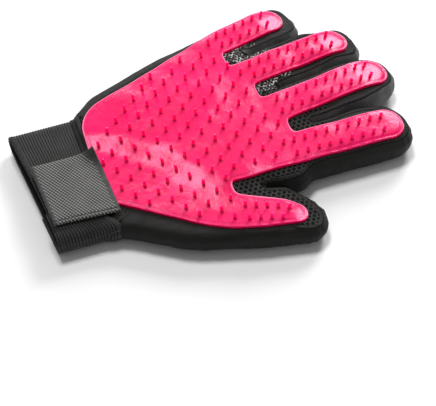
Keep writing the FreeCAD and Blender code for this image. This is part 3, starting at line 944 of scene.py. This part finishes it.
def build_back():
    """The back sheet. Its materials are the mesh and a near-black sheet under it, which is painted shade."""
    flat, faces = filled(BACK_SEAM, 3.0)
    # Its near-black side inside the glove is painted shade.
    build = Build().add(np.c_[flat, back_z(flat) + 0.5], [f[::-1] for f in faces], 1)
    seam = Outline(BACK_SEAM, 1.0)

    def keep(centres):
        return (seam.signed(centres) > 1.3) & off_wrist(centres - (3, 0))

    mesh_cells(build, keep, back_z, -1, ridge=0.6)
    return build.add(*strip_between(BACK_SEAM, 2.4, back_z, 0.3, -1), 0)


def strip_between(seam, wide, height, lift, facing):
    """The plain cloth along a seam, where the mesh has no holes: a band that fades under the mesh."""
    loop = Outline(seam, CLOTH_STEP)
    rows = []
    for inset, up in ((-0.1, lift), (wide * 0.4, lift + 0.15), (wide * 0.8, lift), (wide, lift - 0.5)):
        ring = loop.inset(inset)
        rows.append(np.c_[ring, height(ring) + facing * up])
    return np.vstack(rows), grid_faces(len(rows), len(loop.points), closed=True, flip=facing < 0)


# ---------------- side gussets

# How many rows the strip has from its front seam to its widest line, and from there to its back seam.
FRONT_ROWS, BACK_ROWS = 8, 6
# How far the strip bellies out, how much its puckers and folds change that, and its gathers at the tips.
BELLY, PUCKERS, FOLDS, GATHERS = 0.9, 0.45, 0.35, 0.9
SEAM_ROLL, ROLL_SHARE = 0.28, 0.10


def near_tips(xy):
    """1 at the digits' tips, 0 from 20 mm behind them."""
    share = np.zeros(len(xy))
    for digit in DIGITS:
        ahead, beside = digit.measure(xy)
        mine = abs(beside) < digit.half + 5
        share = np.maximum(share, mine * smoothstep((ahead - digit.tip_at + 20) / 16))
    return share


def between_digits(xy):
    """True on the strips round the little, ring and middle digits, but not along the hand's outer side."""
    wall = np.zeros(len(xy), bool)
    for digit in DIGITS[:3]:
        ahead, beside = digit.measure(xy)
        reach = digit.half + 7
        most = 0.3 * digit.half if digit.name == "little" else reach
        wall |= (abs(beside) < reach) & (beside < most) & (ahead > -6)
    return wall


def gusset_row(front, level, lengths, tip):
    """One row of the strip's points. level is 1 at a seam and 0 at the widest line."""
    count = len(lengths)
    seam_depth = seam_inset(CLOTH.points) if front else np.full(count, BACK_SEAM_INSET)
    ring = CLOTH.inset(seam_depth * (1 - np.sqrt(1 - level ** 2)))
    z = (front_z if front else back_z)(ring) if level > 0 else np.full(count, MIDDLE_Z)
    none = np.zeros(count)
    pucker = waves(np.c_[lengths, z * 0.35, none], 5.5, 1.7)
    folds = waves(np.c_[lengths * 0.12, z * 1.3, none], 3.4, 4.2)
    gather = waves(np.c_[lengths, z * 0.2, none], 2.6, 6.3) * tip * (0.35 + 0.65 * level)
    belly = (1 - level ** 2) * (BELLY + PUCKERS * pucker + FOLDS * folds) + GATHERS * gather * (level < 0.98)
    roll = SEAM_ROLL * math.exp(-((1 - level) / ROLL_SHARE) ** 2)
    ring = ring + CLOTH.outward * (belly + roll)[:, None]
    return np.c_[ring, z + (1 if front else -1) * roll * 0.8]


def build_gussets():
    """One strip round the whole outline, from the front seam over the widest line to the back seam. Its
    materials are the black knit, the stitches, and the paler knit between the digits, whose colour is partly
    painted fill light."""
    count = len(CLOTH.points)
    lengths = np.r_[0, np.cumsum(np.linalg.norm(np.diff(CLOTH.points, axis=0), axis=1))]
    tip = near_tips(CLOTH.points)
    rows = [gusset_row(True, level, lengths, tip) for level in np.linspace(1, 0, FRONT_ROWS)]
    rows += [gusset_row(False, level, lengths, tip) for level in np.linspace(0, 1, BACK_ROWS + 1)[1:]]
    on_hand = off_wrist(CLOTH.points)
    faces = [quad for quad in grid_faces(len(rows), count, closed=True, flip=True)
             if on_hand[quad[0] % count] or on_hand[quad[1] % count]]
    verts = np.vstack(rows)
    build = Build().add(verts, faces)
    # Faces between the digits get the paler knit with its painted fill light.
    build.mats = [2 if pale else 0 for pale in between_digits(verts[[f[0] for f in faces], :2])]
    inset = seam_inset(CLOTH.points)
    seam = CLOTH.inset(inset + 0.55)
    seam = np.c_[seam, front_z(seam) + 0.42]
    keep = on_hand & np.roll(on_hand, 6) & np.roll(on_hand, -6) & (inset < 6)
    order = np.roll(np.arange(count), -int(np.argmax(~keep)))
    order = order[keep[order]]
    return stitch_row(build, seam[order], 1, long=1.7, gap=0.8, radius=0.17, closed=False)


def gusset_group(centre):
    """Which CAD strip a part of the palm's side wall stands for."""
    if centre[0] < DIGITS[0].knuckle[0] - 2 and centre[1] > DIGITS[2].knuckle[1]:
        return "outer_side_gusset"
    if centre[0] < DIGITS[4].knuckle[0] - 1 and centre[1] < 0:
        return "thumb_side_gusset"
    return "finger_crotch_gussets"


# ---------------- cuff and strap

def cad_corners(node):
    """The low and the high corner of a CAD node's box, in millimetres."""
    return [np.array(corner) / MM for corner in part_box(node)]


CUFF_LOW, CUFF_HIGH = cad_corners("wrist_cuff")
MOUTH_X = cad_corners("cuff_hem")[0][0]
CUFF_START = WRIST_X + 3.0
CUFF_LONG = CUFF_START - MOUTH_X
CUFF_CORNER, CUFF_THICK = 6.4, 1.7
TUBE_POINTS, CORNER_POINTS = 120, 9
# How far the mouth slants across the hand, and how far its top layer is set back from its bottom one.
MOUTH_SLANT, MOUTH_SET_BACK = 8.4, 1.0
# A soft sag in the cuff's top: its depth, where it is across, and its width.
SAG, SAG_Y, SAG_WIDE = 0.9, 30.0, 16.0
HEM_LONG = 3.0
# Sections of the hem from its sewn end round the mouth, as (distance from the mouth, height over the cuff),
# and of the binding, as (distance from the wrist, height over the cuff).
HEM_PROFILE = [(HEM_LONG + 0.3, -0.6), (HEM_LONG, -0.1), (HEM_LONG - 0.4, 0.12), (1.7, 0.18), (0.7, 0.15),
               (0.15, -0.1), (-0.05, -0.6), (0.1, -1.2), (0.6, -1.6), (2.0, -1.8), (HEM_LONG, -1.8)]
BINDING_PROFILE = [(2.6, -0.8), (2.3, 0.1), (1.5, 0.55), (0.4, 0.65), (-1.0, 0.55), (-2.2, 0.45),
                   (-2.9, 0.15), (-3.1, -0.6)]


def tube_ring():
    """The cuff's rounded outline in the y-z plane, from the middle of the top and round."""
    (low_y, low_z), (high_y, high_z) = CUFF_LOW[1:], CUFF_HIGH[1:]
    points = []
    for y, z, y_in, z_in, start in ((high_y, high_z, -1, -1, 90), (high_y, low_z, -1, 1, 0),
                                    (low_y, low_z, 1, 1, -90), (low_y, high_z, 1, -1, -180)):
        centre = np.array((y, z)) + CUFF_CORNER * np.array((y_in, z_in))
        for turn in np.radians(np.linspace(start, start - 90, CORNER_POINTS)):
            points.append(centre + CUFF_CORNER * np.array([math.cos(turn), math.sin(turn)]))
    return resampled(np.array(points), 2 * sum(CUFF_HIGH[1:] - CUFF_LOW[1:]) / TUBE_POINTS)


TUBE = tube_ring()


def ring_outward(yz):
    ahead = np.roll(yz, -1, axis=0) - np.roll(yz, 1, axis=0)
    ahead /= np.linalg.norm(ahead, axis=1)[:, None]
    return np.c_[-ahead[:, 1], ahead[:, 0]]


def sagging(share):
    """The tube's ring at a share of the way from the wrist to the mouth, where its top sags."""
    y, z = TUBE[:, 0], TUBE[:, 1]
    return np.c_[y, z - SAG * np.exp(-((y - SAG_Y) / SAG_WIDE) ** 2) * smoothstep((z - MIDDLE_Z) / 4) * share]


def cuff_row(share, out):
    """3-D points of one ring, let out over the tube by a distance or by one for each point."""
    yz = sagging(share)
    yz = yz + ring_outward(yz) * out
    y, z = yz[:, 0], yz[:, 1]
    across = (CUFF_HIGH[1] - y) / (CUFF_HIGH[1] - CUFF_LOW[1])
    set_back = MOUTH_SET_BACK * smoothstep((z - 7) / 6) * smoothstep(across * 1.6)
    mouth = MOUTH_X + MOUTH_SLANT * across + set_back
    return np.c_[CUFF_START + (mouth - CUFF_START) * share, yz]


def build_cuff():
    """Ribbed elastic outside and plain inside. Its materials are the ribs, and the painted shade of the
    grooves between them.
    """
    end = 1 - HEM_LONG / CUFF_LONG
    shares = np.linspace(0, end, int(CUFF_LONG * end / RIB_PITCH * STEPS_PER_RIB))
    ribs = [RIB_TALL * abs(math.sin(math.pi * share * CUFF_LONG / RIB_PITCH)) ** RIB_POWER - RIB_TALL
            for share in shares]
    outer = [cuff_row(share, rib) for share, rib in zip(shares, ribs)]
    build = Build().add(np.vstack(outer), grid_faces(len(outer), len(TUBE), closed=True, flip=True))
    at = (shares[:-1] + shares[1:]) / 2 * CUFF_LONG / RIB_PITCH
    # Faces in the grooves get the painted shade.
    build.mats = [int(groove) for groove in np.repeat(abs(np.sin(math.pi * at)) < SHADED_GROOVE_SHARE, len(TUBE))]
    inner = [cuff_row(share, -CUFF_THICK) for share in np.linspace(0, end, 14)]
    return build.add(np.vstack(inner), grid_faces(len(inner), len(TUBE), closed=True))


def build_hem():
    """The folded end of the cuff: smooth cloth over the mouth, a stitched step, and a round lip."""
    rows = []
    for back, out in HEM_PROFILE:
        share = 1 - back / CUFF_LONG
        wrinkle = 0.12 * waves(np.c_[sagging(share), np.full(len(TUBE), back)], 7, 2.3)
        rows.append(cuff_row(share, (out + wrinkle)[:, None]))
    build = Build().add(np.vstack(rows), grid_faces(len(rows), len(TUBE), closed=True, flip=True))
    line = cuff_row(1 - (HEM_LONG - 0.8) / CUFF_LONG, 0.2)
    return stitch_row(build, line, 1, long=1.6, gap=0.8, radius=0.15)


def build_binding():
    """The rolled seam where the cuff is sewn to the hand."""
    rows = []
    for x, out in BINDING_PROFILE:
        wrinkle = 0.1 * waves(np.c_[TUBE, np.full(len(TUBE), x)], 5, 4.4)
        yz = TUBE + ring_outward(TUBE) * (out + wrinkle)[:, None]
        rows.append(np.c_[np.full(len(yz), WRIST_X + x), yz])
    build = Build().add(np.vstack(rows), grid_faces(len(rows), len(TUBE), closed=True))
    line = np.c_[np.full(len(TUBE), WRIST_X - 1.3), TUBE + ring_outward(TUBE) * 0.6]
    return stitch_row(build, line, 1, long=1.6, gap=0.8, radius=0.17)


STRAP_HIGH = cad_corners("strap_anchor")[1]
BAND_LOW, BAND_HIGH = cad_corners("strap_band")
TAPE_LOW, TAPE_HIGH = cad_corners("hook_tape")
LOOP_LOW, LOOP_HIGH = cad_corners("loop_patch")
HOOKS_LOW, HOOKS_HIGH = cad_corners("hook_pile")
PEEL_Y = next(j for j in frame["joints"] if j["name"] == "strap_peel")["pos_m"][1] / MM
BAND_THICK, STRAP_WIDE = 1.5, 34
# The strap is cut into its fixed end and its band this far before the peel joint, where its bend over the
# joint starts; that bend was meant to end the second distance past it.
PEEL_BEFORE, PEEL_PAST = 5.5, 4.5
# At the thumb side the strap reaches over the wrist seam, and stands a little proud there.
STRAP_FROM_MOUTH = -0.7
STRAP_OVER_WRIST, STRAP_OVER_PROUD = 6.5, 1.4
STRAP_PLAIN_EDGE = 3.2
TAPE_HEM = 2.3
# The tape's lifted corner and the lift of the edge beside it, as (height, where it starts, over what share).
CORNER_LIFT, EDGE_LIFT = (5.5, 1.62, 0.38), (1.1, 0.84, 0.16)
# How far the tape's corners are pulled off its box: its right and left edges along x, and its low edge.
RIGHT_PULL, LEFT_PULL, LOW_PULL = 1.7, 2.7, 2.0
# The hooks' distances along x and y, their lean, half width and length.
HOOK_PITCH = (1.9, 1.75)
HOOK_LEAN, HOOK_WIDE, HOOK_LONG = 0.55, 0.32, 1.15
LOOP_STITCH_INSET = 2.2


def strap_path():
    """The strap's middle line in the y-z plane: under the cuff, round its thumb-side edge, over the top."""
    y_edge, r = CUFF_LOW[1] - 0.9, CUFF_CORNER + 0.9
    z_low, z_top = CUFF_LOW[2] - 0.75, CUFF_HIGH[2] + 0.8
    points = [(STRAP_HIGH[1], z_low), (STRAP_HIGH[1] - 8, z_low), (y_edge + r, z_low)]
    for turn in np.linspace(-90, -270, 19)[1:]:
        a = math.radians(turn)
        middle = (z_low + z_top) / 2
        points.append((y_edge + r + r * math.cos(a), middle + (z_top - z_low) / 2 * math.sin(a)))
    points += [(PEEL_Y + 1, z_top + 0.25), (PEEL_Y + 5, BAND_LOW[2] + 0.8), (BAND_HIGH[1], BAND_LOW[2] + 0.8)]
    path = np.array(points)
    lengths = np.r_[0, np.cumsum(np.linalg.norm(np.diff(path, axis=0), axis=1))]
    at = np.linspace(0, lengths[-1], 70)
    return np.c_[np.interp(at, lengths, path[:, 0]), np.interp(at, lengths, path[:, 1])]


def strap_rows():
    """The strap's sections along its path, each a ribbed top and a plain underside, and the ribs' places."""
    path = strap_path()
    ahead = np.gradient(path, axis=0)
    ahead /= np.linalg.norm(ahead, axis=1)[:, None]
    rib_x = np.linspace(-STRAP_WIDE, 0, int(STRAP_WIDE / RIB_PITCH * STEPS_PER_RIB))
    ribs = RIB_TALL * abs(np.sin(math.pi * rib_x / RIB_PITCH)) ** RIB_POWER
    ribs = np.where(rib_x > -STRAP_PLAIN_EDGE, RIB_TALL * 0.8, ribs)
    rows = []
    for (y, z), out in zip(path, np.c_[-ahead[:, 1], ahead[:, 0]]):
        thumb_side = float(smoothstep((PEEL_Y + 4 - y) / 9) * smoothstep((z + 1.0) / 4))
        across = (CUFF_HIGH[1] - y) / (CUFF_HIGH[1] - CUFF_LOW[1])
        left = MOUTH_X + MOUTH_SLANT * across + STRAP_FROM_MOUTH
        right = STRAP_HIGH[0] + STRAP_OVER_WRIST * thumb_side
        xs = right + rib_x * (right - left) / STRAP_WIDE
        proud = STRAP_OVER_PROUD * thumb_side * smoothstep((xs - STRAP_HIGH[0] + 5) / 6)
        rise = BAND_THICK / 2 - RIB_TALL + ribs + proud
        top = np.c_[xs, y + out[0] * rise, z + out[1] * rise]
        low_y, low_z = (y, z) - out * BAND_THICK / 2
        under = [(x, low_y, low_z) for x in xs[::-4]]
        rows.append(np.vstack([top, under]))
    return path, rows, rib_x


def build_strap():
    """Ribbed elastic with its ribs across x, closed all round: the fixed end, then the band."""
    path, rows, rib_x = strap_rows()
    split = next(i for i, (y, z) in enumerate(path) if z > MIDDLE_Z and y > PEEL_Y - PEEL_BEFORE)
    parts = []
    for chosen in (rows[:split + 1], rows[split:]):
        count, last = len(chosen[0]), (len(chosen) - 1) * len(chosen[0])
        faces = grid_faces(len(chosen), count, closed=True)
        column = np.array([min(f) % count for f in faces])
        ends = [tuple(range(count)), tuple(range(last, last + count))[::-1]]
        part = Build().add(np.vstack(chosen), faces + ends)
        x = rib_x[np.clip(column, 0, len(rib_x) - 2)] + (rib_x[1] - rib_x[0]) / 2
        ribbed = (column < len(rib_x) - 1) & (x < -STRAP_PLAIN_EDGE)
        # Faces in the grooves get the painted shade.
        groove = ribbed & (abs(np.sin(math.pi * (x / RIB_PITCH))) < SHADED_GROOVE_SHARE)
        part.mats[:last] = [int(g) for g in groove]
        parts.append(part)
    return parts


def sheet_grid(low, high, nx, ny):
    """Even points over a flat box: their x and y values, the points row by row, and how far each is from
    the nearest edge."""
    xs, ys = np.linspace(low[0], high[0], nx), np.linspace(low[1], high[1], ny)
    flat = np.stack(np.meshgrid(xs, ys), axis=-1).reshape(-1, 2)
    return xs, ys, flat, np.minimum(flat - low[:2], high[:2] - flat).min(axis=1)


def build_tape():
    """The woven tape: thick, with rounded edges and one corner lifting. Its materials are the weave, the
    stitched hem line, and the plain selvage and underside; the selvage's dark colour on the right edge and
    the lifted corner is partly painted shade."""
    nx, ny = 60, 72
    _, ys, flat, edge = sheet_grid(TAPE_LOW, TAPE_HIGH, nx, ny)
    size = (TAPE_HIGH - TAPE_LOW)[:2]
    u, v = ((flat - TAPE_LOW[:2]) / size).T
    (tall, start, over), (edge_tall, edge_start, edge_over) = CORNER_LIFT, EDGE_LIFT
    curl = tall * np.clip((u + v - start) / over, 0, 1) ** 2
    curl = curl + edge_tall * v * np.clip((u - edge_start) / edge_over, 0, 1) ** 2
    bow = 0.5 * waves(flat, 30, 6.6) + 0.25
    from_hem = flat[:, 1] - TAPE_LOW[1] - TAPE_HEM
    round_off = 0.45 * np.exp(-edge / 0.5) + 0.38 * np.exp(-(from_hem / 0.45) ** 2)
    under = TAPE_LOW[2] + 0.12 + np.clip(bow, 0, None) + curl
    flat[:, 0] += RIGHT_PULL * u * (1 - v) - LEFT_PULL * (1 - u) * v - curl * 0.25
    flat[:, 1] -= LOW_PULL * u * (1 - v) + curl * 0.22
    top = np.c_[flat, under + (TAPE_HIGH[2] - TAPE_LOW[2]) - round_off]
    build = Build().add(top, grid_faces(ny, nx))
    # The dark selvage along the right edge and over the lifted corner is partly the tape's plain edge and
    # partly painted shade where the tape curls up.
    for k, corners in enumerate(build.faces):
        fu, fv = u[list(corners)].mean(), v[list(corners)].mean()
        if abs(fv * size[1] - TAPE_HEM) < 0.4:
            build.mats[k] = 1
        elif fu < 0.045 or fu > 0.95 - 0.06 * fv or fu + fv > 1.77:
            build.mats[k] = 2
    build.add(np.c_[flat, under], grid_faces(ny, nx, flip=True), 2)
    index, below = np.arange(nx * ny).reshape(ny, nx), nx * ny
    rim = [*index[0], *index[1:, -1], *index[-1, -2::-1], *index[-2:0:-1, 0]]
    for a, b in zip(rim, rim[1:] + rim[:1]):
        build.faces.append((b, a, a + below, b + below))
        build.mats.append(0)
    line = top[index[int(round(TAPE_HEM / (ys[1] - ys[0])))][1:-1]] + (0, 0, 0.08)
    return stitch_row(build, line, 1, long=1.9, gap=0.5, radius=0.24, closed=False)


def build_hooks():
    """Rows of small plastic hooks that hang from a thin sheet under the tape, leaning in turn both ways."""
    (x0, y0, _), (x1, y1, top) = HOOKS_LOW, HOOKS_HIGH
    sheet = [(x, y, z) for z in (top - 0.35, top + 0.1) for x, y in ((x0, y0), (x1, y0), (x1, y1), (x0, y1))]
    sides = [(3, 2, 1, 0), (4, 5, 6, 7), (0, 1, 5, 4), (1, 2, 6, 5), (2, 3, 7, 6), (3, 0, 4, 7)]
    build = Build().add(sheet, sides)
    lean = HOOK_LEAN
    for y in np.arange(y0 + 1.0, y1 - 0.8, HOOK_PITCH[1]):
        lean = -lean
        for x in np.arange(x0 + 1.0, x1 - 0.8, HOOK_PITCH[0]):
            rows = []
            for at in np.linspace(0, 1, 6):
                middle, wide = x + lean * at ** 2.5, HOOK_WIDE * (1 - 0.45 * at)
                z = top - 0.3 - HOOK_LONG * math.sin(at * 1.9)
                rows += [(middle + wide * dx, y + wide * dy, z) for dx, dy in SQUARE]
            build.add(rows, grid_faces(6, 4, closed=True, flip=True) + [(20, 21, 22, 23)])
    return build


def build_loops():
    """A brushed patch: a soft-edged mat with a rough, fuzzy top and stitches round it."""
    nx, ny = 56, 92
    xs, ys, flat, edge = sheet_grid(LOOP_LOW, LOOP_HIGH, nx, ny)
    fuzz = 0.16 * waves(flat, 1.1, 9.1)
    tall = LOOP_HIGH[2] - LOOP_LOW[2] + 0.45
    top = LOOP_LOW[2] - 0.5 + tall * smoothstep(edge / 1.2) + fuzz * smoothstep(edge / 1.0)
    build = Build().add(np.c_[flat, top], grid_faces(ny, nx))
    in_x, in_y = (int(LOOP_STITCH_INSET / (at[1] - at[0])) for at in (xs, ys))
    (x0, x1), (y0, y1) = xs[[in_x, -in_x - 1]], ys[[in_y, -in_y - 1]]
    path = np.array([(x, y, LOOP_HIGH[2] + 0.02) for x, y in ((x0, y0), (x1, y0), (x1, y1), (x0, y1))])
    return stitch_row(build, path, 1, long=1.8, gap=0.9, radius=0.18)


def whole_piece(node, build, materials):
    """The one piece that replaces a CAD node."""
    piece = make_piece(node + "_piece", *build.arrays()[:2], materials, build.mats)
    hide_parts(node)
    return piece


# ---------------- put together

share_out("grip_pad", build_pad(), [SILICONE, PINK_THREAD, STUDS, RIM_PAINTED_HIGHLIGHT])
share_out("front_panel", build_front(), [FRONT_YARN, PAINTED_SHADE_SHEET, GUSSET, PAINTED_GLINT_YARN])
share_out("back_panel", build_back(), [BACK_YARN, PAINTED_SHADE_SHEET])
share_out("side_gusset", build_gussets(), [GUSSET, BLACK_THREAD, FINGER_SIDE], gusset_group)

RIBBED, SEWN = [ELASTIC, GROOVE_PAINTED_SHADE], [BINDING, BLACK_THREAD]
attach(whole_piece("wrist_cuff", build_cuff(), RIBBED), "hand")
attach(whole_piece("cuff_hem", build_hem(), SEWN), "hand")
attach(whole_piece("wrist_seam_binding", build_binding(), SEWN), "hand")
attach(whole_piece("loop_patch", build_loops(), [PILE, BLACK_THREAD]), "hand")
fixed_end, band = build_strap()
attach(whole_piece("strap_anchor", fixed_end, RIBBED), "hand")
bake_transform(whole_piece("strap_band", band, RIBBED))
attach(whole_piece("hook_tape", build_tape(), [TAPE, BLACK_THREAD, SELVAGE_AND_SHADE]), "strap")
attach(whole_piece("hook_pile", build_hooks(), [HOOKS]), "strap")


# ---------------- camera, light and floor

AIM = Vector((-0.01429, -0.04209, 0.0))
AZIMUTH, ELEVATION, DISTANCE = -19.3, 51.0, 0.740
LENS, SENSOR = 104.6, 36.0
# Square soft lights that look at the glove: name, direction they are in, size in metres and watts.
SOFTBOXES = [("right_back", (0.55, 0.66, 0.52), 0.72, 29), ("low_back", (0.10, 0.93, 0.33), 0.60, 8),
             ("overhead", (-0.02, 0.36, 0.93), 0.56, 22)]
LIGHT_DISTANCE = 2.0
WORLD_STRENGTH = 0.26
FLOOR_HALF = 3.0


def aim(obj, direction, distance):
    """Puts a camera or a light in a direction from the glove, looking at it."""
    obj.location = AIM + direction * distance
    obj.rotation_euler = (-direction).to_track_quat("-Z", "Y").to_euler()


def add_camera():
    camera = bpy.data.cameras.new("camera")
    camera.lens, camera.sensor_width = LENS, SENSOR
    obj = placed("camera", camera)
    a, e = math.radians(AZIMUTH), math.radians(ELEVATION)
    aim(obj, Vector((math.sin(a) * math.cos(e), -math.cos(a) * math.cos(e), math.sin(e))), DISTANCE)
    bpy.context.scene.camera = obj


def add_lights():
    for name, towards, size, watts in SOFTBOXES:
        light = bpy.data.lights.new(name, "AREA")
        light.shape, light.size, light.energy = "SQUARE", size, watts
        aim(placed(name, light), Vector(towards).normalized(), LIGHT_DISTANCE)
    world = bpy.data.worlds.new("studio")
    world.use_nodes = True
    background = world.node_tree.nodes["Background"]
    feed(background.inputs["Color"], (1, 1, 1, 1))
    feed(background.inputs["Strength"], WORLD_STRENGTH)
    bpy.context.scene.world = world


def add_floor():
    floor = bpy.data.meshes.new("floor")
    corners = [(x * FLOOR_HALF, y * FLOOR_HALF, 0) for x, y in SQUARE]
    floor.from_pydata(corners, [], [(0, 1, 2, 3)])
    floor.materials.append(paper_floor())
    placed("floor", floor)


add_camera()
add_floor()
add_lights()
bpy.context.scene.view_settings.view_transform = "Standard"
